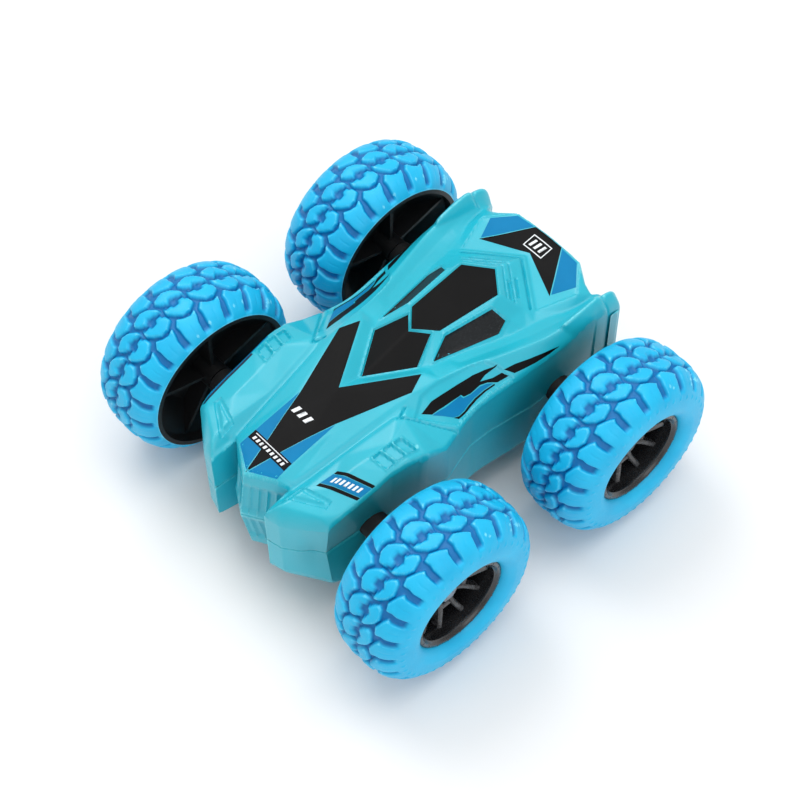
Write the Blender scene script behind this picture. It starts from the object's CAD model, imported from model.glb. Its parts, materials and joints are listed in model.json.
"""Looks of the double-sided stunt car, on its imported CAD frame.

The body, tyres and wheel rims get finished meshes, and every other part keeps its CAD shape
with a procedural material. Shapes are worked out in millimetres and scaled to metres once.
"""
import bpy
import json
import math
import numpy as np
from mathutils import Matrix, Vector
from mathutils.geometry import delaunay_2d_cdt


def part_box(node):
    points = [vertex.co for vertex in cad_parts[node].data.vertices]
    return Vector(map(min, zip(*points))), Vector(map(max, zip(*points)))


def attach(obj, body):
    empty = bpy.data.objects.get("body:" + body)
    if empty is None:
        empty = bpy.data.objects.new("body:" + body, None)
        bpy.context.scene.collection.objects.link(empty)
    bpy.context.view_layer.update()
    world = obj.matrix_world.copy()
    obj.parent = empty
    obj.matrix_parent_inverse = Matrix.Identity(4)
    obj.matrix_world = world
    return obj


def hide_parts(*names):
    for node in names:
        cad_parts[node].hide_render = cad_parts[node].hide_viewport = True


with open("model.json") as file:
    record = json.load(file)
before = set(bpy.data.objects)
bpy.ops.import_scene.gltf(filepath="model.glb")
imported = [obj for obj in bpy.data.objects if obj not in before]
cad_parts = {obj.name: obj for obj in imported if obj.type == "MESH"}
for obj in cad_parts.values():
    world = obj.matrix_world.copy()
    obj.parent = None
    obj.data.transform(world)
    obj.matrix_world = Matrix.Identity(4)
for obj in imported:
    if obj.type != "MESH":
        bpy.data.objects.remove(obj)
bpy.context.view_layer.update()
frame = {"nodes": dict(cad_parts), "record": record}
nodes = frame["nodes"]

MM = 0.001
PARTING = 30.0                       # height of the plane that mirrors the body
GRID = 0.42                          # spacing of the body's mesh
CELL = 0.25                          # spacing of the height map that the mesh is read from
SOFTEN = 0.42                        # radius that rounds the body's edges
EDGE_ROUND = 1.1                     # radius where the top turns into the side wall
SOFT_ROUND = 1.6                     # added to that radius at the fins' ends and the pods' fronts
FIN_CAP = 53.0                       # where the fins' rounded ends start
FIN_END = 62.0
FIN_DROP = 6.0                       # how far their tops fall by the tail


# ---------------------------------------------------------------- meshes
def add_mesh(name, points, faces, body, material, replaces=(), smooth_angle=40.0, slot=None):
    """A smooth-shaded object from points in millimetres, riding on one body."""
    mesh = bpy.data.meshes.new(name)
    points = np.asarray(points, float) * MM
    mesh.vertices.add(len(points))
    mesh.vertices.foreach_set("co", points.ravel())
    sizes = np.array([len(f) for f in faces])
    corners = np.concatenate([np.asarray(f) for f in faces]) if len(faces) else np.zeros(0, int)
    mesh.loops.add(len(corners))
    mesh.loops.foreach_set("vertex_index", corners.astype(np.int32))
    mesh.polygons.add(len(sizes))
    mesh.polygons.foreach_set("loop_start", np.concatenate([[0], np.cumsum(sizes)[:-1]]).astype(np.int32))
    mesh.polygons.foreach_set("loop_total", sizes.astype(np.int32))
    mesh.update(calc_edges=True)
    mesh.validate()
    mesh.shade_smooth()
    mesh.set_sharp_from_angle(angle=math.radians(smooth_angle))
    mesh.materials.append(material)
    obj = bpy.data.objects.new(name, mesh)
    bpy.context.scene.collection.objects.link(obj)
    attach(obj, body)
    if replaces:
        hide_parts(*replaces)
    return obj


def joined(parts):
    """Several (points, faces) as one."""
    points, faces, start = [], [], 0
    for p, f in parts:
        points.append(np.asarray(p, float))
        faces += [[i + start for i in face] for face in f]
        start += len(p)
    return np.concatenate(points), faces


def flipped(points, faces, axis, about=0.0):
    """The mirror image of a mesh across a plane square to one axis."""
    out = np.array(points, float)
    out[:, axis] = 2 * about - out[:, axis]
    return out, [list(f)[::-1] for f in faces]


def both_sides(outline):
    """A closed outline from its right half, joined to the mirror image of that half."""
    return list(outline) + [(-x, y) for x, y in outline[::-1] if abs(x) > 1e-6]


def mirror_outline(outline):
    """The same outline on the other side of the car."""
    return [(-x, y) for x, y in outline[::-1]]


# ---------------------------------------------------------------- plane geometry
def depth_inside(x, y, outline):
    """Distance of each place from a closed outline, positive inside it."""
    p = np.array([q[:2] for q in outline], float)
    near = np.full(x.shape, 1e9)
    inside = np.zeros(x.shape, bool)
    for (ax, ay), (bx, by) in zip(p, np.roll(p, -1, axis=0)):
        ex, ey = bx - ax, by - ay
        t = np.clip(((x - ax) * ex + (y - ay) * ey) / (ex * ex + ey * ey + 1e-12), 0, 1)
        near = np.minimum(near, np.hypot(x - ax - t * ex, y - ay - t * ey))
        if ay != by:
            inside ^= ((ay > y) != (by > y)) & (x < ax + (y - ay) / (by - ay) * ex)
    return np.where(inside, near, -near)


def distance_to(x, y, run):
    """Distance of each place from an open run of points."""
    near = np.full(x.shape, 1e9)
    for a, b in zip(run, run[1:]):
        ex, ey = b[0] - a[0], b[1] - a[1]
        t = np.clip(((x - a[0]) * ex + (y - a[1]) * ey) / (ex * ex + ey * ey), 0, 1)
        near = np.minimum(near, np.hypot(x - a[0] - t * ex, y - a[1] - t * ey))
    return near


def ease(t):
    """A smooth step from 0 to 1."""
    t = np.clip(t, 0, 1)
    return t * t * (3 - 2 * t)


def anticlockwise(outline):
    p = np.array([q[:2] for q in outline], float)
    return np.sum(p[:, 0] * np.roll(p[:, 1], -1) - np.roll(p[:, 0], -1) * p[:, 1]) > 0


def inset(outline, amount):
    """The closed outline moved inwards by an amount."""
    p = np.array([q[:2] for q in outline], float)
    turn = 1.0 if anticlockwise(outline) else -1.0
    out = []
    for before, here, after in zip(np.roll(p, 1, axis=0), p, np.roll(p, -1, axis=0)):
        a = (here - before) / (np.linalg.norm(here - before) + 1e-9)
        b = (after - here) / (np.linalg.norm(after - here) + 1e-9)
        na, nb = turn * np.array((-a[1], a[0])), turn * np.array((-b[1], b[0]))
        middle = na + nb
        out.append(tuple(here + middle * amount / max(0.35, 0.5 * float(middle @ middle))))
    return out


def divided(run, step, closed=False):
    """The run with extra points, so that none is further than step from the next."""
    p = [np.array(q, float) for q in run]
    ends = p[1:] + p[:1] if closed else p[1:]
    out = []
    for a, b in zip(p, ends):
        count = max(1, math.ceil(np.linalg.norm((b - a)[:2]) / step))
        out += [tuple(a + (b - a) * k / count) for k in range(count)]
    if not closed:
        out.append(tuple(p[-1]))
    return out


def spline(points, step=1.5):
    """Points along a smooth curve through the given ones."""
    p = [np.array(q, float) for q in points]
    p = [2 * p[0] - p[1]] + p + [2 * p[-1] - p[-2]]
    out = []
    for a, b, c, d in zip(p, p[1:], p[2:], p[3:]):
        count = max(1, int(np.linalg.norm(c - b) / step))
        for k in range(count):
            t = k / count
            out.append(0.5 * (2 * b + (c - a) * t + (2 * a - 5 * b + 4 * c - d) * t * t
                              + (3 * b - a - 3 * c + d) * t ** 3))
    out.append(p[-2])
    return [tuple(q) for q in out]


def resample(points, count):
    """The same run of points as a fixed number of evenly spaced ones."""
    p = np.array(points, float)
    reach = np.concatenate([[0], np.cumsum(np.linalg.norm(np.diff(p, axis=0), axis=1))])
    at = np.linspace(0, reach[-1], count)
    return [tuple(q) for q in np.stack([np.interp(at, reach, p[:, k]) for k in range(3)], 1)]


def filled(outline, step, extra=()):
    """Triangles inside a closed outline in plan, on a grid, with extra closed outlines as edges."""
    border = divided(outline, step, closed=True)
    points = [Vector(q[:2]) for q in border]
    edges = [(k, (k + 1) % len(border)) for k in range(len(border))]
    for line in extra:
        line = divided(line, step, closed=True)
        start = len(points)
        points += [Vector(q[:2]) for q in line]
        edges += [(start + k, start + (k + 1) % len(line)) for k in range(len(line))]
    low, high = np.min(np.array(border)[:, :2], axis=0), np.max(np.array(border)[:, :2], axis=0)
    gx, gy = np.meshgrid(np.arange(low[0], high[0], step), np.arange(low[1], high[1], step))
    gx[1::2] += step / 2
    lines = [border] + [divided(line, step, closed=True) for line in extra]
    keep = depth_inside(gx, gy, border) > 0.45 * step
    for line in lines[1:]:
        keep &= np.abs(depth_inside(gx, gy, line)) > 0.45 * step
    points += [Vector(q) for q in zip(gx[keep], gy[keep])]
    verts, _, faces, _, _, _ = delaunay_2d_cdt(points, edges, [], 0, 1e-5)
    flat = np.array([tuple(v) for v in verts])
    faces = np.array([list(f) for f in faces])
    centre = flat[faces].mean(axis=1)
    faces = faces[depth_inside(centre[:, 0], centre[:, 1], border) > 0]
    return flat, [list(map(int, f)) for f in faces]


# ---------------------------------------------------------------- body form
NOSE = (0, -59.3, 48.2)
HOOD_END = (11.4, -52.6, 47.2)
NOTCH = (0, -23.4, 55.7)
ARM_OUT = (15.8, -9.2, 56.1)
ARM_IN = (13.0, -3.1, 56.8)
SCREEN_FRONT = (0, -15.5, 52.9)
SCREEN_SIDE = (9.5, -1.7, 54.3)
SCREEN_TOP = (4.9, 8.3, 57.9)
ROOF_FRONT = (0, 3.9, 58.45)
ROOF_SIDE = (6.3, 9.9, 58.45)
ROOF_REAR = (8.1, 31.6, 58.35)
ROOF_TAIL = (0, 38.3, 57.9)
WINDOW = [(10.9, 2.4, 54.1), (7.6, 10.2, 58.0), (9.5, 27.3, 57.6), (13.9, 29.6, 53.4), (15.4, 25.1, 51.6)]
PILLAR_FOOT = (11.8, 0.4, 54.3)
POD_TIP = (11.6, -61.8, 44.6)
POD_NOSE = (16.5, -60.6, 44.4)
POD_CORNER = (28.1, -52.4, 45.2)
POD_REAR = (19.4, -15.9, 54.0)
POD_HEEL = (31.4, -11.0, 46.6)
HAUNCH_START = (29.4, -4.4, 46.4)
DECK_FRONT = (0, 50.4, 52.8)
DECK_CORNER = (15.9, 39.0, 51.2)
DECK_SIDE = (20.4, 52.0, 52.2)
DECK_REAR = (12.6, 60.9, 53.9)
DECK_END = (0, 61.0, 54.4)
LEDGE_SIDE = (13.8, 36.8, 52.6)
LEDGE_TAIL = (0, 46.6, 54.6)

GUTTER = spline([PILLAR_FOOT, (14.0, 12, 53.0), (16.6, 24, 51.2), (18.6, 36, 50.3), (22.6, 50, 50.0),
                 (23.4, 61.5, 50.2)])
CREST = spline([ARM_OUT, (16.6, -3, 55.7), (17.9, 6, 54.9), (22.0, 20, 53.7), (26.0, 34, 53.3),
                (27.2, 44, 54.3), (27.2, 52, 55.2), (26.9, 61.5, 55.9)])
HAUNCH = spline([HAUNCH_START, (27.6, 5, 47.3), (28.6, 20, 48.4), (29.5, 34, 49.0), (29.8, 44, 50.2),
                 (30.3, 52, 51.8), (30.6, 61.5, 52.8)])
HOLLOW = [tuple(0.52 * np.array(g) + 0.48 * np.array(c) - np.array((0, 0, 0.55)))
          for g, c in zip(resample(GUTTER, 30)[6:], resample(CREST, 30)[6:])]

BREAKLINES = [
    [NOSE, NOTCH, SCREEN_FRONT, ROOF_FRONT, ROOF_TAIL, LEDGE_TAIL, DECK_FRONT, DECK_END],
    [NOSE, HOOD_END, ARM_OUT, ARM_IN, NOTCH],
    [SCREEN_FRONT, SCREEN_SIDE, SCREEN_TOP, ROOF_FRONT, ROOF_SIDE, ROOF_REAR, ROOF_TAIL],
    WINDOW + WINDOW[:1],
    [POD_TIP, (12.2, -58.2, 45.6), (13.0, -52.6, 46.5), (15.4, -36, 50.3), (17.9, -18.1, 54.1), POD_REAR],
    [(12.2, -58.2, 45.6), (14.9, -58.0, 48.2), (15.9, -51, 49.5), (21.0, -45.2, 50.4), (21.6, -36, 52.3),
     (23.2, -24.4, 54.0), (17.9, -18.1, 54.1)],
    [(14.9, -58.0, 48.2), (24.9, -52.6, 47.6), (28.8, -48, 47.4)],
    [POD_REAR, POD_HEEL],
    [NOSE, (8.2, -54.2, 48.9), (7.9, -48, 50.4), (8.4, -31, 53.2), ARM_OUT],
    [(11.5, -52.7, 46.0), (14.2, -36, 49.3), (16.8, -18, 53.3), (17.0, -13.5, 54.2)],
    [POD_TIP, POD_NOSE, POD_CORNER, (28.8, -48, 47.4), (29.2, -42, 48.7), (29.5, -36, 50.0),
     (29.7, -30, 51.6), (30.6, -24, 52.1), (31.5, -18, 50.5), POD_HEEL, HAUNCH_START],
    [POD_REAR, HAUNCH_START],
    [ARM_IN, PILLAR_FOOT],
    GUTTER, CREST, HAUNCH, HOLLOW,
    [ROOF_REAR, LEDGE_SIDE, DECK_CORNER, DECK_SIDE, DECK_REAR, DECK_END],
    [LEDGE_SIDE, LEDGE_TAIL],
    [DECK_CORNER, DECK_FRONT],
]

# Outline of the body's top seen from above, right half, nose to tail.
RIM = ([NOSE, HOOD_END, POD_TIP, POD_NOSE, POD_CORNER, (28.8, -48), (29.2, -42), (29.5, -36), (29.7, -30),
        (30.6, -24), (31.5, -18), POD_HEEL, HAUNCH_START] + HAUNCH[1:-1]
       + [(31.0, 55.5), (31.0, 58.6), (30.0, 60.6), (27.0, 61.4), (24.6, 60.9), (23.4, 58.9), (21.9, 56.4),
          (18.6, 57.2), DECK_REAR, (0, 61.0)])
RIM = [q[:2] for q in RIM]

# How far out the wall stands at the parting plane, along the body.
WALL_Y = [-62, -50.5, -40, -30, -20, -10, -5.5, 2.6, 10.5, 17.8, 25, 40, 62]
WALL_X = [26.2, 26.4, 27.1, 28.4, 29.8, 31.2, 29.7, 27.3, 27.4, 28.3, 29.4, 29.7, 29.9]


def form_triangles():
    """The breaklines as a triangulated sheet: corner positions and faces."""
    points, edges = [], []
    for run in BREAKLINES:
        indices = []
        for q in run:
            near = [k for k, r in enumerate(points) if abs(q[0] - r[0]) + abs(q[1] - r[1]) < 0.05]
            if not near:
                points.append(q)
            indices.append(near[0] if near else len(points) - 1)
        edges += [(a, b) for a, b in zip(indices, indices[1:]) if a != b]
    flat = [Vector(q[:2]) for q in points]
    verts, _, faces, source, _, _ = delaunay_2d_cdt(flat, edges, [], 0, 1e-4)
    heights = []
    for v, origin in zip(verts, source):
        if origin:
            heights.append(points[origin[0]][2])
        else:
            near = sorted((abs(v[0] - q[0]) + abs(v[1] - q[1]), q[2]) for q in points)[:2]
            heights.append(sum(z for _, z in near) / 2)
    return np.array([(v[0], v[1], z) for v, z in zip(verts, heights)]), faces


def sheet_height(net, faces, x, y):
    """Height of the triangulated sheet at many places; off it, the nearest triangle goes on."""
    z = np.zeros(x.shape)
    best = np.full(x.shape, -1e9)
    for face in faces:
        for k in range(1, len(face) - 1):
            a, b, c = net[face[0]], net[face[k]], net[face[k + 1]]
            det = (b[0] - a[0]) * (c[1] - a[1]) - (c[0] - a[0]) * (b[1] - a[1])
            if abs(det) < 1e-3:
                continue
            u = ((x - a[0]) * (c[1] - a[1]) - (c[0] - a[0]) * (y - a[1])) / det
            v = ((b[0] - a[0]) * (y - a[1]) - (x - a[0]) * (b[1] - a[1])) / det
            score = np.minimum(np.minimum(u, v), 1 - u - v) * math.sqrt(abs(det))
            better = (score > best) & (best < -1e-6)
            z = np.where(better, a[2] + u * (b[2] - a[2]) + v * (c[2] - a[2]), z)
            best = np.maximum(best, score)
    return z


def softened(z, radius):
    """The height map blurred, with its first row mirrored so that the middle line stays level."""
    reach = int(math.ceil(3 * radius / CELL))
    weights = np.exp(-0.5 * (np.arange(-reach, reach + 1) * CELL / radius) ** 2)
    weights /= weights.sum()
    for axis in (0, 1):
        z = np.pad(z, [(reach, reach) if k == axis else (0, 0) for k in (0, 1)],
                   mode="reflect" if axis == 1 else "edge")
        z = sum(w * np.take(z, range(k, z.shape[axis] - 2 * reach + k), axis=axis)
                for k, w in enumerate(weights))
    return z


map_x = np.arange(0, 34 + CELL, CELL)
map_y = np.arange(-64, 64 + CELL, CELL)
height_map = softened(sheet_height(*form_triangles(), *np.meshgrid(map_x, map_y)), SOFTEN)


def form_height(x, y):
    """Height of the plain form above each place."""
    column = np.clip(np.abs(x) / CELL, 0, len(map_x) - 1.001)
    row = np.clip((y - map_y[0]) / CELL, 0, len(map_y) - 1.001)
    i, j = row.astype(int), column.astype(int)
    u, v = row - i, column - j
    return ((1 - u) * ((1 - v) * height_map[i, j] + v * height_map[i, j + 1])
            + u * ((1 - v) * height_map[i + 1, j] + v * height_map[i + 1, j + 1]))


# ---------------------------------------------------------------- body details
SCREEN = both_sides([q[:2] for q in (SCREEN_FRONT, SCREEN_SIDE, SCREEN_TOP, ROOF_FRONT)])
ROOF = both_sides([q[:2] for q in (ROOF_FRONT, ROOF_SIDE, ROOF_REAR, ROOF_TAIL)])
SIDE_WINDOW = [q[:2] for q in WINDOW]
VENT = [(22.1, -32.1), (23.2, -20.4), (29.1, -18.8), (28.4, -31.0)]
HEADLIGHT = [(13.6, -56.6), (14.6, -50.2), (24.1, -47.2), (24.6, -49.8)]
DECK = both_sides([q[:2] for q in (DECK_FRONT, DECK_CORNER, DECK_SIDE, DECK_REAR, DECK_END)])
FLANK_PANEL = [(17.3, -8.0), (17.1, -2.0), (17.8, 3.6), (18.7, 9.6), (20.1, 14.4), (23.1, 16.8),
               (27.9, 18.9), (27.4, 15.6), (26.9, 10.4), (27.0, 4.6), (27.5, -0.6), (28.2, -3.4),
               (20.6, -13.6)]
NACELLE = [(26.2, 38.5), (25.2, 46.0), (24.6, 54.1), (30.9, 54.6), (31.0, 47.0), (29.2, 41.0)]
NACELLE_HALF = 2.9                   # how far in from its outline a nacelle rises
NACELLE_RISE = 1.8

# Outlines that the body's mesh has edges along, those of one side and those across the middle.
DETAIL_LINES = [inset(HEADLIGHT, 0.0), VENT, SIDE_WINDOW, inset(SIDE_WINDOW, 0.55)]
CENTRE_LINES = [SCREEN, inset(SCREEN, 0.4), ROOF, inset(ROOF, 0.4)]


def vent_cells():
    """Three sunk cells side by side within the vent."""
    a, b, c, d = (np.array(q) for q in inset(VENT, 0.45))
    cells = []
    for k in range(3):
        start, end = (k + 0.07) / 3, (k + 0.93) / 3
        cells.append([tuple(a + (b - a) * start), tuple(a + (b - a) * end),
                      tuple(d + (c - d) * end), tuple(d + (c - d) * start)])
    return cells


def body_height(x, y):
    """Height of the finished upper skin above each place, for either side."""
    x = np.abs(np.asarray(x, float))
    y = np.asarray(y, float)
    z = form_height(x, y)

    def sink(outline, depth, ramp=0.4):
        return -depth * ease(depth_inside(x, y, outline) / ramp)

    def cut(run, depth, half_width):
        return -depth * (1 - ease(distance_to(x, y, run) / half_width))

    # sunk windows, the windshield and the side ones each within a raised lip
    z += sink(SCREEN, 0.6) + sink(ROOF, 0.5) + sink(SIDE_WINDOW, 0.8, 0.55)
    z += sink(inset(SCREEN, -0.55), -0.28, 0.3) + sink(inset(SIDE_WINDOW, -0.6), -0.32, 0.35)
    # vents with sunk cells in a raised frame, headlights outlined by a groove
    z += sink(VENT, -0.35, 0.35)
    for cell in vent_cells():
        z += sink(cell, 0.95, 0.35)
    z += sink(HEADLIGHT, 0.5, 0.35) - sink(inset(HEADLIGHT, 1.1), 0.5, 0.5)
    # the flank's and deck's sunk panels, and the joint line behind the pods
    z += sink(FLANK_PANEL, 0.6, 0.45)
    z += sink(DECK, 0.42, 0.5)
    z += cut([(17.0, -13.6), (18.3, -17.4), (19.6, -15.6), (29.6, -4.2)], 0.8, 0.5)
    # steps between roof and deck, parallel to the roof's rear edges
    z += cut([(0, 40.9), (9.6, 33.6)], 0.55, 0.42) + cut([(0, 43.4), (11.6, 35.0)], 0.55, 0.42)
    z += cut([(0, 48.8), (14.7, 38.2)], 0.95, 0.55)
    for offset in (0.0, 3.0):
        z += cut([(5.0, 38.6 + offset), (10.2, 34.6 + offset)], 0.85, 0.6)
    # nacelles on the fins: a drop shape that ends in a crease, then the fins' rounded ends
    bulge = np.clip(depth_inside(x, y, NACELLE) / NACELLE_HALF, 0, 1)
    z += NACELLE_RISE * np.sqrt(bulge * (2 - bulge))
    z += cut([(24.3, 54.6), (31.5, 54.9)], 0.7, 0.5)
    cap = np.clip((y - FIN_CAP) / (FIN_END - FIN_CAP), 0, 1) * ease((x - 22.5) / 1.5)
    z -= FIN_DROP * (1 - np.sqrt(1 - cap ** 2))
    # hood: a narrow bevel that meets the front lip
    z += cut([(0, -57.9), (11.6, -51.2)], 0.28, 0.4)
    # the border is rounded, more so round the fins' ends and the pods' fronts
    soft = np.maximum(ease((y - 48) / 4) * ease((x - 23) / 2), ease((-51 - y) / 3) * ease((x - 11) / 2))
    radius = EDGE_ROUND + SOFT_ROUND * soft
    edge = np.clip(depth_inside(x, y, RIM_WHOLE), 0, radius)
    z -= radius - np.sqrt(np.clip(radius ** 2 - (radius - edge) ** 2, 0, None))
    return z


RIM_WHOLE = both_sides(RIM)


# ---------------------------------------------------------------- materials
EDGE_GRAIN = 900.0                   # noise scale that breaks up the worn edges
RELIEF_DEPTH = 0.00008               # metres


def node_tree(name):
    """A new material with its node tree and shader."""
    material = bpy.data.materials.new(name)
    material.use_nodes = True
    tree = material.node_tree
    return material, tree, tree.nodes["Principled BSDF"]


def linear(red, green, blue):
    """A colour given as 0-255 display values, as the shader's linear one."""
    return tuple((v / 255 / 12.92 if v < 11 else ((v / 255 + 0.055) / 1.055) ** 2.4)
                 for v in (red, green, blue)) + (1.0,)


def noise(tree, scale, detail=3.0, roughness=0.55, stretch=None):
    """Noise in the piece's own coordinates, which are metres; stretch scales it along each axis."""
    place = tree.nodes.new("ShaderNodeTexCoord")
    node = tree.nodes.new("ShaderNodeTexNoise")
    node.inputs["Scale"].default_value = scale
    node.inputs["Detail"].default_value = detail
    node.inputs["Roughness"].default_value = roughness
    if stretch:
        mapping = tree.nodes.new("ShaderNodeMapping")
        mapping.inputs["Scale"].default_value = stretch
        tree.links.new(place.outputs["Object"], mapping.inputs["Vector"])
        tree.links.new(mapping.outputs["Vector"], node.inputs["Vector"])
    else:
        tree.links.new(place.outputs["Object"], node.inputs["Vector"])
    return node.outputs["Fac"]


def ranged(tree, value, low, high, start=0.3, end=0.7):
    """A value from start to end spread over low to high."""
    node = tree.nodes.new("ShaderNodeMapRange")
    node.inputs["From Min"].default_value = start
    node.inputs["From Max"].default_value = end
    node.inputs["To Min"].default_value = low
    node.inputs["To Max"].default_value = high
    tree.links.new(value, node.inputs["Value"])
    return node.outputs["Result"]


def mixed(tree, factor, first, second):
    """Two colours, given or linked, mixed by a factor."""
    node = tree.nodes.new("ShaderNodeMix")
    node.data_type = "RGBA"
    for socket, colour in ((node.inputs[6], first), (node.inputs[7], second)):
        if isinstance(colour, tuple):
            socket.default_value = colour
        else:
            tree.links.new(colour, socket)
    tree.links.new(factor, node.inputs[0])
    return node.outputs[2]


def finish(name, colour, second, roughness, grain, bump, *, blotch=60.0, metallic=0.0, coat=0.0,
           specular=0.5, edge=None, edge_at=0.53, stretch=None, subsurface=0.0, speckle=None, groove=None):
    """A procedural surface: two close colours in blotches, worn edges, fine grain in gloss and relief."""
    material, tree, shader = node_tree(name)
    colours = mixed(tree, ranged(tree, noise(tree, blotch, 4.0), 0, 1), colour, second)
    if speckle:
        dots = ranged(tree, noise(tree, speckle[1], 1.0), 0, 1, speckle[2], speckle[2] + 0.06)
        colours = mixed(tree, dots, colours, speckle[0])
    if groove:
        depth = tree.nodes.new("ShaderNodeAttribute")
        depth.attribute_name = "groove"
        colours = mixed(tree, ranged(tree, depth.outputs["Fac"], 0, 1, 0.25, 0.9), colours, groove)
    if edge:
        geometry = tree.nodes.new("ShaderNodeNewGeometry")
        rim = ranged(tree, geometry.outputs["Pointiness"], 0, 1, edge_at, edge_at + 0.06)
        scuffed = tree.nodes.new("ShaderNodeMath")
        scuffed.operation = "MULTIPLY"
        tree.links.new(rim, scuffed.inputs[0])
        tree.links.new(ranged(tree, noise(tree, EDGE_GRAIN), 0.15, 1.0), scuffed.inputs[1])
        colours = mixed(tree, scuffed.outputs[0], colours, edge)
    tree.links.new(colours, shader.inputs["Base Color"])
    fine = noise(tree, grain, 2.0, stretch=stretch)
    tree.links.new(ranged(tree, fine, roughness[0], roughness[1]), shader.inputs["Roughness"])
    relief = tree.nodes.new("ShaderNodeBump")
    relief.inputs["Strength"].default_value = bump
    relief.inputs["Distance"].default_value = RELIEF_DEPTH
    tree.links.new(fine, relief.inputs["Height"])
    tree.links.new(relief.outputs["Normal"], shader.inputs["Normal"])
    shader.inputs["Metallic"].default_value = metallic
    shader.inputs["Coat Weight"].default_value = coat
    shader.inputs["Coat Roughness"].default_value = 0.25
    shader.inputs["Specular IOR Level"].default_value = specular
    shader.inputs["Subsurface Weight"].default_value = subsurface
    shader.inputs["Subsurface Scale"].default_value = 0.002
    return material


turquoise = finish("body_turquoise", linear(22, 173, 194), linear(30, 183, 204), (0.27, 0.38), 5200.0, 0.14,
                   blotch=45.0, coat=0.22, edge=linear(140, 234, 242), edge_at=0.53)
inner_black = finish("inner_black", linear(14, 14, 16), linear(20, 20, 22), (0.5, 0.66), 3800.0, 0.25)
print_black = finish("printed_black", linear(5, 5, 6), linear(9, 9, 10), (0.44, 0.58), 6500.0, 0.1,
                     blotch=90.0, specular=0.13)
window_black = finish("window_black", linear(18, 19, 21), linear(26, 27, 29), (0.36, 0.52), 5200.0, 0.3,
                      speckle=(linear(62, 65, 68), 5200.0, 0.62), specular=0.25)
print_blue = finish("printed_blue", linear(0, 118, 170), linear(2, 126, 180), (0.44, 0.56), 6500.0, 0.1,
                    blotch=90.0, specular=0.14)
print_white = finish("printed_white", linear(236, 240, 242), linear(224, 230, 234), (0.42, 0.52), 6500.0,
                     0.1)
print_navy = finish("printed_navy", linear(6, 16, 44), linear(10, 22, 54), (0.4, 0.5), 6500.0, 0.1)
tyre_blue = finish("tyre_blue", linear(12, 176, 226), linear(24, 188, 236), (0.36, 0.52), 2600.0, 0.3,
                   blotch=110.0, edge=linear(130, 226, 252), edge_at=0.53, specular=0.38,
                   groove=linear(0, 112, 176))
wheel_black = finish("wheel_black", linear(19, 19, 21), linear(26, 26, 28), (0.18, 0.32), 2400.0, 0.14,
                     coat=0.35, edge=linear(84, 86, 90), edge_at=0.54)
dish_black = finish("dish_black", linear(11, 11, 13), linear(17, 17, 19), (0.4, 0.55), 3000.0, 0.2)
dark_steel = finish("dark_steel", linear(44, 44, 48), linear(60, 60, 64), (0.3, 0.5), 5200.0, 0.25,
                    metallic=0.9, edge=linear(150, 150, 154))
bright_steel = finish("drawn_steel", linear(186, 188, 192), linear(166, 168, 174), (0.2, 0.4), 3600.0, 0.2,
                      metallic=1.0, stretch=(0.08, 1.0, 1.0))
brass = finish("turned_brass", linear(206, 166, 88), linear(188, 146, 72), (0.22, 0.4), 4200.0, 0.2,
               metallic=1.0, stretch=(1.0, 0.1, 0.1))
nylon = finish("gear_nylon", linear(232, 230, 220), linear(220, 218, 206), (0.45, 0.6), 3000.0, 0.2,
               subsurface=0.2)
board_green = finish("board_green", linear(14, 92, 48), linear(10, 76, 40), (0.3, 0.45), 2600.0, 0.3,
                     speckle=(linear(190, 160, 80), 1500.0, 0.64))
wrap_blue = finish("battery_wrap", linear(24, 62, 148), linear(18, 50, 128), (0.22, 0.36), 1800.0, 0.3,
                   coat=0.3)
switch_black = finish("switch_black", linear(22, 22, 24), linear(30, 30, 32), (0.5, 0.62), 4200.0, 0.3)

SLOT_MATERIALS = {
    "body_plastic": turquoise, "dark_metal": dark_steel, "black_inner_plastic": inner_black,
    "battery_wrap": wrap_blue, "circuit_board": board_green, "switch_black": switch_black,
    "axle_steel": bright_steel, "bush_brass": brass, "motor_can": bright_steel, "pinion_brass": brass,
    "gear_nylon": nylon, "tyre_rubber": tyre_blue, "wheel_plastic": wheel_black,
}
for entry in frame["record"]["subparts"]:
    node = nodes[entry["node"]]
    material = SLOT_MATERIALS[entry["material_slot"]]
    if entry["node"].startswith("wheel_dish"):
        material = dish_black
    node.data.materials.clear()
    node.data.materials.append(material)


# ---------------------------------------------------------------- body skins
WALL_ROWS = 16
SEAM_GAP = 0.14                      # from the parting plane to the edge of each half
SEAM_BEVEL = 0.3
LIP = 1.3                            # how far the edge turns inwards
RIB_PITCH = 2.1                      # of the upright ribs on the nose
RIB_DEPTH = 0.75
NOSE_LEAN = 2.6                      # how far the nose comes forward down to the parting plane
DOOR_EDGE = 0.3                      # how far the battery door's edge is rounded down
HOLE_WALL = 6.5                      # height of the walls round the underside's openings
rim_side = np.array([q for q in RIM[4:] if q[0] > 27.0])
rim_order = np.argsort(rim_side[:, 1], kind="stable")


def wall_points(border, t):
    """The border carried down the wall by the fraction t, with the wall's lean and the nose ribs."""
    x, y = border[:, 0], border[:, 1]
    top = body_height(x, y)
    z = top + (PARTING + SEAM_GAP + SEAM_BEVEL - top) * t
    rim_x = np.interp(y, rim_side[rim_order, 1], rim_side[rim_order, 0])
    lean = (np.interp(y, WALL_Y, WALL_X) - rim_x) * ease((np.abs(x) - 20) / 6) * (y < 50)
    nose = (np.abs(x) < 10.4) & (y < -52.9)
    rib = ease((0.5 - np.abs((np.abs(x) / RIB_PITCH) % 1.0 - 0.5)) / 0.16)
    band = ease((t - 0.2) / 0.08) * ease((0.93 - t) / 0.08)
    back = RIB_DEPTH * rib * band * nose - NOSE_LEAN * t * ease((11.6 - np.abs(x)) / 4) * (y < -52)
    return np.stack([x + np.sign(x) * lean * t, y + back, z], 1)


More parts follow.
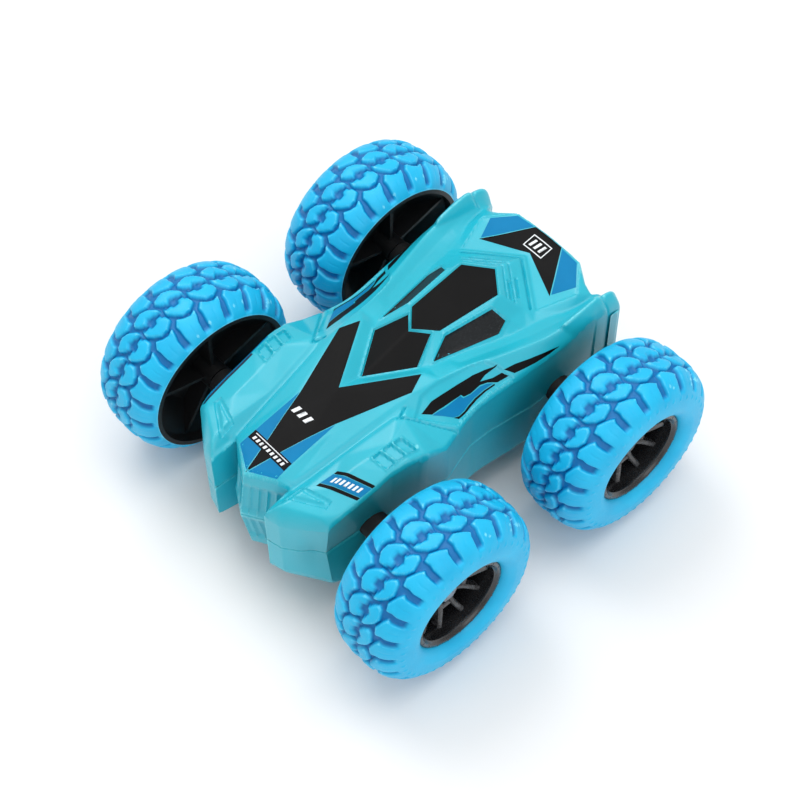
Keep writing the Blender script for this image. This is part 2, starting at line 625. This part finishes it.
def ring_faces(count, first, second):
    """Four-cornered faces between two closed rings of corners."""
    return [[first + k, first + (k + 1) % count, second + (k + 1) % count, second + k][::-1]
            for k in range(count)]


def wall():
    """The side wall from the top's border to the parting plane, with a bevelled lip turned inwards."""
    border = np.array(divided(RIM_WHOLE, GRID, closed=True))
    rows = [wall_points(border, t) for t in np.linspace(0, 1, WALL_ROWS)]
    end = rows[-1]
    normal = np.roll(end, 1, axis=0) - np.roll(end, -1, axis=0)
    inward = np.stack([-normal[:, 1], normal[:, 0]], 1)
    inward /= np.linalg.norm(inward, axis=1, keepdims=True) + 1e-9
    turned = not anticlockwise(end)
    inward *= 1.0 if turned else -1.0
    for amount, z in ((SEAM_BEVEL, PARTING + SEAM_GAP), (LIP, PARTING + SEAM_GAP)):
        row = end.copy()
        row[:, :2] += inward * amount
        row[:, 2] = z
        rows.append(row)
    count = len(border)
    faces = []
    for k in range(len(rows) - 1):
        ring = ring_faces(count, k * count, (k + 1) * count)
        faces += [f[::-1] for f in ring] if turned else ring
    return np.concatenate(rows), faces


def circle(x, y, radius, count=28):
    return [(x + radius * math.cos(2 * math.pi * k / count), y + radius * math.sin(2 * math.pi * k / count))
            for k in range(count)]


def rectangle(low_x, low_y, high_x, high_y):
    return [(low_x, low_y), (high_x, low_y), (high_x, high_y), (low_x, high_y)]


def clear_of(holes, points, faces):
    """The faces that don't lie over a hole."""
    centre = np.array([points[f].mean(axis=0) for f in faces])
    keep = np.ones(len(faces), bool)
    for hole in holes:
        keep &= depth_inside(centre[:, 0], centre[:, 1], hole) < 0
    return [f for f, k in zip(faces, keep) if k]


def skirt(outline, step, lift, depth, outwards):
    """A wall round an outline that starts above the body by a lift and goes down by a depth."""
    ring = np.array(divided(outline, step, closed=True))
    upper = np.column_stack([ring, body_height(ring[:, 0], ring[:, 1]) + lift])
    side = ring_faces(len(ring), 0, len(ring))
    points = np.concatenate([upper, upper - np.array((0, 0, depth))])
    return points, [f[::-1] for f in side] if outwards else side


def skin(holes=(), hole_depth=0.0):
    """The upper skin's mesh: top with its details, holes with walls, and the side wall."""
    lines = list(CENTRE_LINES) + list(holes)
    for line in DETAIL_LINES:
        lines += [line, mirror_outline(line)]
    flat, faces = filled(RIM_WHOLE, GRID, lines)
    top = np.column_stack([flat, body_height(flat[:, 0], flat[:, 1])])
    parts = [(top, clear_of(holes, flat, faces)), wall()]
    parts += [skirt(hole, GRID, 0.0, hole_depth, False) for hole in holes]
    return welded(*joined(parts))


def welded(points, faces, grain=1e-4):
    """The mesh with corners at the same place made one, and unused corners dropped."""
    keys = np.round(points / grain).astype(np.int64)
    _, first, index = np.unique(keys, axis=0, return_index=True, return_inverse=True)
    index = index.ravel()
    points = points[first]
    faces = [[int(index[i]) for i in f] for f in faces]
    faces = [f for f in faces if len(set(f)) == len(f)]
    used = np.unique(np.concatenate([np.array(f) for f in faces]))
    place = np.full(len(points), -1)
    place[used] = np.arange(len(used))
    return points[used], [[int(place[i]) for i in f] for f in faces]


def underside(points, faces):
    """The mesh mirrored in the parting plane."""
    return flipped(points, faces, 2, PARTING)


add_mesh("upper_shell_skin", *skin(), "chassis", turquoise, replaces=["upper_shell"], slot="body_plastic")

door_low, door_high = (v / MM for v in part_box("battery_door"))
knob_low, knob_high = (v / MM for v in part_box("switch_knob"))
door_screw_low, door_screw_high = (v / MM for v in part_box("battery_door_screw"))
door_hole = rectangle(door_low.x - 0.25, door_low.y - 0.25, door_high.x + 0.25, door_high.y + 0.25)
switch_hole = rectangle(knob_low.x - 0.8, knob_low.y - 0.4, knob_high.x + 3.8, knob_high.y + 0.4)
BOSSES = [(18.5, -50.0), (21.5, -6.0), (22.5, 51.0)]
screw_holes = [circle(s * x, y, 2.4) for x, y in BOSSES for s in (-1, 1)]
add_mesh("lower_shell_skin", *underside(*skin([door_hole, switch_hole] + screw_holes, HOLE_WALL)),
         "chassis", turquoise, replaces=["lower_shell"], slot="body_plastic")


def door():
    """The battery door: its piece of the skin, with a skirt, grip ridges and a recess for its screw."""
    outline = inset(door_hole, 0.3)
    screw = circle((door_screw_low.x + door_screw_high.x) / 2,
                   (door_screw_low.y + door_screw_high.y) / 2, 2.2)
    flat, faces = filled(outline, GRID, [screw])
    height = body_height(flat[:, 0], flat[:, 1])
    height -= DOOR_EDGE * (1 - ease(depth_inside(flat[:, 0], flat[:, 1], outline) / 0.4))
    for row in range(4):
        y = door_low.y + 3.0 + 1.6 * row
        height -= 0.3 * (1 - ease(distance_to(flat[:, 0], flat[:, 1], [(-4.5, y), (4.5, y)]) / 0.45))
    parts = [(np.column_stack([flat, height]), clear_of([screw], flat, faces)),
             skirt(outline, GRID, -DOOR_EDGE, 1.6, True), skirt(screw, GRID, 0.0, 1.5, False)]
    return welded(*joined(parts))


add_mesh("battery_door_skin", *underside(*door()), "chassis", turquoise, replaces=["battery_door"],
         slot="body_plastic")


# ---------------------------------------------------------------- printed stickers
PRINT_GRID = 0.7
OPENINGS = [inset(door_hole, -0.3), inset(switch_hole, -0.5)] + [circle(s * x, y, 2.8) for x, y in BOSSES
                                                                   for s in (-1, 1)]


def print_part(outline, lift, openings=()):
    """One thin sticker that follows the body, with its edge, less what lies over an opening."""
    flat, faces = filled(outline, PRINT_GRID, openings)
    top = np.column_stack([flat, body_height(flat[:, 0], flat[:, 1]) + lift])
    edge = skirt(outline, PRINT_GRID, lift, lift + 0.05, anticlockwise(outline))
    points, faces = joined([(top, faces), edge])
    return points, clear_of(openings, points, faces)


def print_on(name, outlines, material, lift=0.07):
    """Stickers above the body and the same ones below it, as one piece."""
    above = joined([print_part(outline, lift) for outline in outlines])
    below = underside(*joined([print_part(outline, lift, OPENINGS) for outline in outlines]))
    return add_mesh(name, *welded(*joined([above, below])), "chassis", material)


def pair(outline):
    return [outline, mirror_outline(outline)]


def slanted(x, y, width, height, lean):
    """A leaning bar from its lower left corner."""
    return [(x, y), (x + width, y), (x + width + lean, y + height), (x + lean, y + height)]


def between(corners, u0, v0, u1, v1):
    """A four-cornered patch of a four-cornered label, from fractions along and across it."""
    a, b, c, d = (np.array(q, float) for q in corners)
    return [tuple((a + (b - a) * u) * (1 - v) + (d + (c - d) * u) * v)
            for u, v in ((u0, v0), (u1, v0), (u1, v1), (u0, v1))]


def frame_bars(low_x, low_y, high_x, high_y, line):
    """The four sides of a thin rectangular outline."""
    return [rectangle(low_x, low_y, high_x, low_y + line), rectangle(low_x, high_y - line, high_x, high_y),
            rectangle(low_x, low_y + line, low_x + line, high_y - line),
            rectangle(high_x - line, low_y + line, high_x, high_y - line)]


V_OUTER = [(0, -58.3), (2.9, -47.3), (7.5, -31.4), (15.5, -9.6), (13.0, -3.6)]
NOSE_LABEL = rectangle(-7.8, -50.8, 7.8, -47.9)
DECK_STAR = both_sides([(0, 52.4), (15.0, 45.9), (5.4, 60.3)])
FLAME = [(20.5, -10.5), (19.8, -6.0), (20.0, -2.0), (20.3, 3.6), (20.9, 9.0), (21.8, 13.0), (23.0, 17.0),
         (22.7, 12.2), (23.1, 9.8), (24.4, 13.6), (24.9, 16.8), (26.5, 18.0), (25.9, 14.2), (24.4, 11.6),
         (23.7, 9.2), (23.8, 5.5), (23.4, 3.2), (22.7, 2.8), (22.6, 0.0), (22.5, -4.0), (22.2, -8.0)]
FLAME_TAIL = [(24.9, 17.7), (25.6, 21.4), (26.9, 26.0), (28.1, 31.0), (29.1, 36.0), (28.9, 32.0),
              (28.4, 27.0), (27.8, 23.2), (27.1, 19.8)]
FLAME_BLUE = [(22.4, -8.0), (22.9, -3.6), (22.8, 2.4), (23.6, 2.8), (24.0, 5.4), (24.0, 9.0), (24.5, 11.1),
              (25.4, 12.9), (25.1, 9.5), (25.1, 5.8), (25.5, 2.9), (26.0, 0.8), (26.2, -1.5), (25.8, -3.2)]
FLAME_EDGE = [(26.0, -3.1), (26.4, -1.4), (26.2, 0.9), (25.7, 3.0), (25.3, 5.8), (25.3, 9.5), (25.7, 13.2),
              (26.0, 13.0), (25.7, 9.6), (25.8, 6.2), (26.2, 3.3), (26.7, 0.8), (26.9, -1.9)]
POD_LABEL = [(17.6, -47.4), (18.3, -40.2), (28.9, -35.6), (28.4, -42.0)]
POD_STRIPE = [(26.6, -51.4), (27.5, -42.0), (28.0, -32.0), (28.7, -32.0), (28.2, -42.0), (27.2, -51.9)]
POD_BAND = [(27.3, -51.7), (28.3, -42.0), (28.8, -32.0), (29.4, -25.0), (30.0, -25.0), (29.2, -32.5),
            (28.9, -41.5), (28.2, -48.0)]

print_on("hood_v_print", [both_sides(V_OUTER + [(0, -23.4)])], print_black)
print_on("hood_blue_print", pair([(0.5, -57.7), (8.0, -53.6), (7.8, -48.0), (7.7, -31.6), (3.1, -47.3)]),
         print_blue)
print_on("nose_label_print", [NOSE_LABEL], print_black, lift=0.13)
print_on("nose_label_marks", [rectangle(-6.8, -48.6, 6.8, -48.35)]
         + [slanted(-6.6 + 1.5 * k, -50.3, 0.8, 1.1, 0.3) for k in range(9)], print_white, lift=0.18)
print_on("hood_marks", [slanted(-4.9 + 2.5 * k, -37.2, 1.3, 2.4, 0.9) for k in range(3)], print_white,
         lift=0.12)
print_on("windshield_print", [inset(SCREEN, 0.45)], print_black, lift=0.05)
print_on("roof_print", [inset(ROOF, 0.4)], print_black, lift=0.05)
print_on("side_window_print", pair(inset(SIDE_WINDOW, 0.4)), window_black, lift=0.05)
print_on("deck_black_print", [DECK_STAR], print_black)
print_on("deck_blue_print", pair([(15.0, 46.6), (18.2, 53.6), (12.5, 59.6), (6.0, 60.0)]), print_blue)
print_on("deck_marks", frame_bars(-3.8, 53.2, 3.8, 58.1, 0.32)
         + [slanted(-2.6 + 1.9 * k, 54.3, 0.9, 2.7, 0.5) for k in range(3)], print_white, lift=0.12)
print_on("flank_flame_print", pair(FLAME) + pair(FLAME_TAIL) + pair(FLAME_EDGE), print_black)
print_on("flank_blue_print", pair(FLAME_BLUE), print_blue)
print_on("pod_label_print", [between(POD_LABEL, 0.2, 0, 0.8, 1)], print_blue)
print_on("pod_label_bars", [between(POD_LABEL, 0, 0, 0.17, 1), between(POD_LABEL, 0.83, 0, 1, 1)],
         print_black)
print_on("pod_label_marks", [between(POD_LABEL, 0.36, 0.15 + 0.11 * k, 0.64, 0.21 + 0.11 * k)
                             for k in range(7)], print_white, lift=0.12)
print_on("pod_stripe_print", [mirror_outline(POD_STRIPE)], print_navy)
print_on("pod_band_print", [mirror_outline(POD_BAND)], print_blue)


# ---------------------------------------------------------------- tyres
TYRE_RADIUS = 30.0
TYRE_HALF = 13.75                    # half its width
WIDE_RADIUS = 18.3                   # where it is widest
SQUARENESS = 2.7                     # power of the superellipse that is its section
WHEEL_X = 52.9                       # from the car's middle to the tyre's
PITCHES = 21
PITCH = 360 / PITCHES
AROUND = PITCHES * 30
TREAD_DEPTH = 1.35
GROOVE_RAMP = 0.8                    # width of a block's sloping side
BLOCK_GROWTH = 0.62                  # how far a block spreads past its outline
BEAD_RADIUS = 15.6                   # where the outboard sidewall meets the rim
OPEN_RADIUS = 24.4                   # opening of the inboard side
NUB_RADIUS = 23.6
NUB_HEIGHT = 0.22
DEGREE = math.pi * TYRE_RADIUS / 180 # length of a degree of tread

# Blocks of one pitch of the tread: degrees round the wheel, and distance outboard of its middle.
BLOCKS = [
    [(2.1, 0.4), (1.4, -1.2), (4.2, -3.2), (7.5, -4.8), (12.5, -5.0), (17.2, -3.5), (16.7, -1.7),
     (13.1, 0.2), (11.0, -1.1), (7.5, -1.1), (3.7, 0.1)],
    [(0.6, 4.0), (2.5, 2.6), (6.0, 1.4), (8.7, 2.5), (13.1, 1.7), (16.9, 0.9), (16.2, 2.4), (12.5, 4.6),
     (8.1, 5.7), (2.0, 4.9)],
    [(-0.3, -15.0), (-0.5, -10.5), (0.3, -8.0), (0.2, -6.5), (3.1, -4.9), (6.5, -6.1), (10.5, -6.7),
     (14.0, -6.0), (13.2, -7.6), (11.4, -9.4), (10.6, -11.5), (10.6, -15.0)],
    [(4.8, 8.0), (7.5, 7.1), (13.5, 5.7), (17.6, 6.3), (17.0, 8.0), (17.7, 9.5), (17.0, 15.0), (5.4, 15.0),
     (6.2, 10.8), (6.0, 9.0)],
]
SIPES = [
    [(6.6, -3.1), (9.0, -2.9), (11.6, -3.1)], [(6.6, 3.5), (9.0, 3.8), (11.2, 3.4)],
    [(5.4, -11.4), (5.6, -9.8), (6.2, -8.6)], [(11.4, 11.4), (11.8, 9.8), (11.2, 8.6)],
]


def tread_height(angle, across):
    """How far the tread stands at each place, from -1 in a groove to 0 on a block."""
    x = (angle % PITCH)
    block = np.full(x.shape, -1e9)
    sipe = np.full(x.shape, 1e9)
    for shift in (-PITCH, 0.0, PITCH):
        for outline in BLOCKS:
            moved = [((a + shift) * DEGREE, c) for a, c in outline]
            block = np.maximum(block, depth_inside(x * DEGREE, across, moved))
        for run in SIPES:
            moved = [((a + shift) * DEGREE, c) for a, c in run]
            sipe = np.minimum(sipe, distance_to(x * DEGREE, across, moved))
    height = ease((block + BLOCK_GROWTH) / GROOVE_RAMP) - 1
    shoulder = 1 - ease((np.abs(across) - 11.6) / 1.2)
    crown = -0.06 * (1 - ease(block / 1.2))
    return (height + crown) * shoulder - 0.08 * (1 - ease(sipe / 0.34)) * shoulder * (height > -0.3)


def tyre():
    """A treaded tyre about the x axis, outboard side towards +x, as rings round the axis."""
    turn = np.linspace(0.02, math.pi - 0.02, 96)
    power = 2 / SQUARENESS
    across = np.sign(np.cos(turn)) * np.abs(np.cos(turn)) ** power * TYRE_HALF
    radius = WIDE_RADIUS + (TYRE_RADIUS - WIDE_RADIUS) * np.sin(turn) ** power
    ring_x, ring_r = list(across), list(radius)
    # the outboard sidewall runs down to the rim's flange, the inboard one into the open side
    ring_x = [11.0, 11.6, 12.4, 13.0] + ring_x + [-12.95, -12.7, -11.4, -9.0, -6.0]
    ring_r = [BEAD_RADIUS + 0.05, BEAD_RADIUS + 0.25, BEAD_RADIUS + 0.8, BEAD_RADIUS + 1.6] + ring_r + [
        24.1, 24.35, OPEN_RADIUS, OPEN_RADIUS, OPEN_RADIUS]
    ring_x, ring_r = np.array(ring_x), np.array(ring_r)
    keep = np.ones(len(ring_x), bool)
    keep[4:] &= ~((ring_x[4:] > 12.8) & (ring_r[4:] < BEAD_RADIUS + 2.2))
    keep[4:-5] &= ~((ring_x[4:-5] < -12.0) & (ring_r[4:-5] < OPEN_RADIUS))
    ring_x, ring_r = ring_x[keep], ring_r[keep]
    angle = np.arange(AROUND) * 360 / AROUND
    a, x = np.meshgrid(angle, ring_x)
    r = np.repeat(ring_r[:, None], AROUND, axis=1)
    lift = tread_height(a, x)
    on_tread = ease((r - 22.5) / 2.5) * (np.abs(x) < 13.3)
    # the tread is cut square to the tyre's rounded outline
    slope = np.gradient(ring_r) / (np.gradient(ring_x) + 1e-9)
    normal_x = np.clip(-slope, -30, 30) / np.hypot(1, np.clip(slope, -30, 30))
    normal_r = 1 / np.hypot(1, np.clip(slope, -30, 30))
    r = r + TREAD_DEPTH * lift * on_tread * normal_r[:, None]
    x = x + TREAD_DEPTH * lift * on_tread * normal_x[:, None]
    # small raised nubs round the outboard shoulder
    nub = ease((0.5 - np.abs((a / PITCH * 2) % 1 - 0.5) - 0.36) / 0.05)
    nub *= ease((0.7 - np.abs(ring_r[:, None] - NUB_RADIUS)) / 0.3)
    x = x + NUB_HEIGHT * nub * (ring_x[:, None] > 8)
    radians = np.radians(a)
    points = np.stack([np.clip(x, -TYRE_HALF, TYRE_HALF), -r * np.sin(radians), r * np.cos(radians)], -1)
    faces = []
    for k in range(len(ring_x) - 1):
        faces += ring_faces(AROUND, k * AROUND, (k + 1) * AROUND)
    groove = np.clip(-lift, 0, 1) * on_tread
    return points.reshape(-1, 3), faces, groove.ravel()


tyre_points, tyre_faces, tyre_groove = tyre()


def at_wheel(points, node, side):
    """The points of a right-hand part moved to a wheel; a left-hand wheel is turned half round."""
    low, high = (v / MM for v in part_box(node))
    placed = np.array(points, float)
    if side < 0:
        placed[:, 0] *= -1
        placed[:, 1] *= -1
    return placed + np.array((side * WHEEL_X, (low.y + high.y) / 2, (low.z + high.z) / 2))


for end in ("front", "rear"):
    for side_name, side in (("left", -1), ("right", 1)):
        wheel = f"{end}_{side_name}"
        tread = add_mesh(f"tyre_tread_{wheel}", at_wheel(tyre_points, f"tyre_{wheel}", side), tyre_faces,
                         f"wheel_{wheel}", tyre_blue, replaces=[f"tyre_{wheel}"], smooth_angle=55,
                         slot="tyre_rubber")
        depth = tread.data.attributes.new("groove", "FLOAT", "POINT")
        depth.data.foreach_set("value", tyre_groove.astype(np.float32))


# ---------------------------------------------------------------- wheel rims
SPOKES = 5
SPOKE_IN = 1.6
SPOKE_OUT = 4.4
SPOKE_ROOT = 3.4                     # radius where the spokes leave the hub
SPOKE_RISE = 0.36                    # how much further out they stand for each unit of radius
RIM_STEPS = 120
RIVETS = 4 * SPOKES
RIVET_RADIUS = 14.85                 # of the circle of rivet heads
# Profiles as (x outboard, radius).
RIM_PROFILE = [(-2.0, 13.1), (4.0, 13.15), (9.6, 13.3), (10.4, 13.5), (10.7, 13.9), (11.1, 14.1),
               (11.4, 14.5), (11.4, 15.0), (11.2, 15.5), (10.8, 15.6), (9.8, 15.6), (9.6, 15.3),
               (9.6, 14.4), (-2.0, 14.4), (-2.0, 13.1)]
HUB_PROFILE = [(-2.0, 1.6), (-2.0, 4.2), (3.6, 4.2), (4.7, 3.9), (5.0, 3.5), (5.0, 2.9),
               (4.6, 2.7), (4.6, 1.6), (-2.0, 1.6)]


def turned(profile, steps=RIM_STEPS):
    """A profile of (x, radius) points turned about the x axis."""
    angles = np.arange(steps) * 2 * math.pi / steps
    points = np.concatenate([np.stack([np.full(steps, x), -r * np.sin(angles), r * np.cos(angles)], 1)
                             for x, r in profile])
    faces = []
    for k in range(len(profile) - 1):
        faces += [f[::-1] for f in ring_faces(steps, k * steps, (k + 1) * steps)]
    return points, faces


def plate(outline, low, high, bevel=0.3):
    """A flat bar across the wheel with a bevelled outboard edge; the outline is (radial, sideways)."""
    top = inset(outline, bevel)
    rings = [(outline, low), (outline, high - bevel), (top, high)]
    points = np.array([(x + SPOKE_RISE * (a - SPOKE_ROOT), -b, a) for line, x in rings for a, b in line])
    count = len(outline)
    faces = ring_faces(count, 0, count) + ring_faces(count, count, 2 * count) + [
        list(range(2 * count, 3 * count))[::-1], list(range(count))]
    return points, [f[::-1] for f in faces] if anticlockwise(outline) else faces


def rotated(points, degrees):
    c, s = math.cos(math.radians(degrees)), math.sin(math.radians(degrees))
    p = np.array(points, float)
    return np.stack([p[:, 0], c * p[:, 1] - s * p[:, 2], s * p[:, 1] + c * p[:, 2]], 1)


def rim():
    """The outboard half of a wheel: flange with rivet heads, barrel, A-shaped spokes and hub."""
    parts = [turned(RIM_PROFILE), turned(HUB_PROFILE, 48)]
    for k in range(SPOKES):
        turn = 360 * k / SPOKES + 36
        for lean in (-1, 1):
            limb = [(SPOKE_ROOT, lean * 0.5), (8.0, lean * 1.5), (13.2, lean * 3.7), (12.9, lean * 5.4),
                    (7.6, lean * 3.1), (SPOKE_ROOT, lean * 2.3)]
            points, faces = plate(limb, SPOKE_IN, SPOKE_OUT, 0.35)
            parts.append((rotated(points, turn), faces))
        crossbar = [(6.9, -1.9), (8.2, -2.2), (8.2, 2.2), (6.9, 1.9)]
        points, faces = plate(crossbar, SPOKE_IN, SPOKE_OUT - 0.5, 0.25)
        parts.append((rotated(points, turn), faces))
    points, faces = turned([(11.3, 0.42), (11.42, 0.38), (11.5, 0.22), (11.52, 0.01)], 10)
    head = np.stack([points[:, 0], points[:, 1], points[:, 2] + RIVET_RADIUS], 1)
    for k in range(RIVETS):
        parts.append((rotated(head, 360 * k / RIVETS), faces))
    return joined(parts)


rim_points, rim_faces = rim()
for end in ("front", "rear"):
    for side_name, side in (("left", -1), ("right", 1)):
        wheel = f"{end}_{side_name}"
        add_mesh(f"rim_{wheel}", at_wheel(rim_points, f"tyre_{wheel}", side), rim_faces, f"wheel_{wheel}",
                 wheel_black, replaces=[f"wheel_rim_{wheel}"], smooth_angle=30, slot="wheel_plastic")


# ---------------------------------------------------------------- floor, lights and camera
def stage_mesh(name, corners, material):
    """A flat face, in metres, that belongs to the set and not to the car."""
    mesh = bpy.data.meshes.new(name)
    mesh.from_pydata(corners, [], [tuple(range(len(corners)))])
    mesh.materials.append(material)
    obj = bpy.data.objects.new(name, mesh)
    bpy.context.scene.collection.objects.link(obj)
    return obj


def area_light(name, azimuth, elevation, distance, size, power, target=(0, 0, 0.03)):
    """A square soft light that looks at the target; azimuth 0 is in front of the nose."""
    light = bpy.data.lights.new(name, "AREA")
    light.energy = power
    light.size = size
    obj = bpy.data.objects.new(name, light)
    bpy.context.scene.collection.objects.link(obj)
    a, e = math.radians(azimuth), math.radians(elevation)
    offset = Vector((math.sin(a) * math.cos(e), -math.cos(a) * math.cos(e), math.sin(e))) * distance
    obj.location = Vector(target) + offset
    obj.rotation_euler = offset.to_track_quat("Z", "Y").to_euler()
    return obj


floor_white, _, floor_shader = node_tree("floor_white")
floor_shader.inputs["Base Color"].default_value = (0.9, 0.9, 0.9, 1)
floor_shader.inputs["Roughness"].default_value = 0.7
FLOOR_HALF = 3.0
stage_mesh("floor", [(x, y, 0) for x, y in rectangle(-FLOOR_HALF, -FLOOR_HALF, FLOOR_HALF, FLOOR_HALF)],
           floor_white)

world = bpy.data.worlds.new("studio")
world.use_nodes = True
world.node_tree.nodes["Background"].inputs["Color"].default_value = (1.0, 1.0, 1.0, 1)
world.node_tree.nodes["Background"].inputs["Strength"].default_value = 0.64
bpy.context.scene.world = world
area_light("key", -95, 58, 1.1, 0.6, 4.2)
area_light("front", 10, 62, 1.3, 0.9, 1.4)
area_light("side", 80, 34, 1.2, 0.7, 2.4)
area_light("top", 150, 74, 1.2, 0.8, 4.2)

CAMERA_AZIMUTH = math.radians(48.435)
CAMERA_ELEVATION = math.radians(54.820)
CAMERA_ROLL = math.radians(-0.948)
CAMERA_DISTANCE = 0.5785
back = Vector((math.sin(CAMERA_AZIMUTH) * math.cos(CAMERA_ELEVATION),
               -math.cos(CAMERA_AZIMUTH) * math.cos(CAMERA_ELEVATION), math.sin(CAMERA_ELEVATION)))
right = Vector((math.cos(CAMERA_AZIMUTH), math.sin(CAMERA_AZIMUTH), 0))
up = back.cross(right)
turned_right = right * math.cos(CAMERA_ROLL) + up * math.sin(CAMERA_ROLL)
turned_up = up * math.cos(CAMERA_ROLL) - right * math.sin(CAMERA_ROLL)
camera_data = bpy.data.cameras.new("camera")
camera_data.lens = 87.43
camera_data.sensor_width = 36.0
camera = bpy.data.objects.new("camera", camera_data)
bpy.context.scene.collection.objects.link(camera)
place = Vector((0, 0, 0.030)) + right * -0.00026 + up * -0.00173 + back * CAMERA_DISTANCE
camera.matrix_world = Matrix((
    (turned_right.x, turned_up.x, back.x, place.x), (turned_right.y, turned_up.y, back.y, place.y),
    (turned_right.z, turned_up.z, back.z, place.z), (0, 0, 0, 1)))
bpy.context.scene.camera = camera
bpy.context.scene.view_settings.view_transform = "Standard"
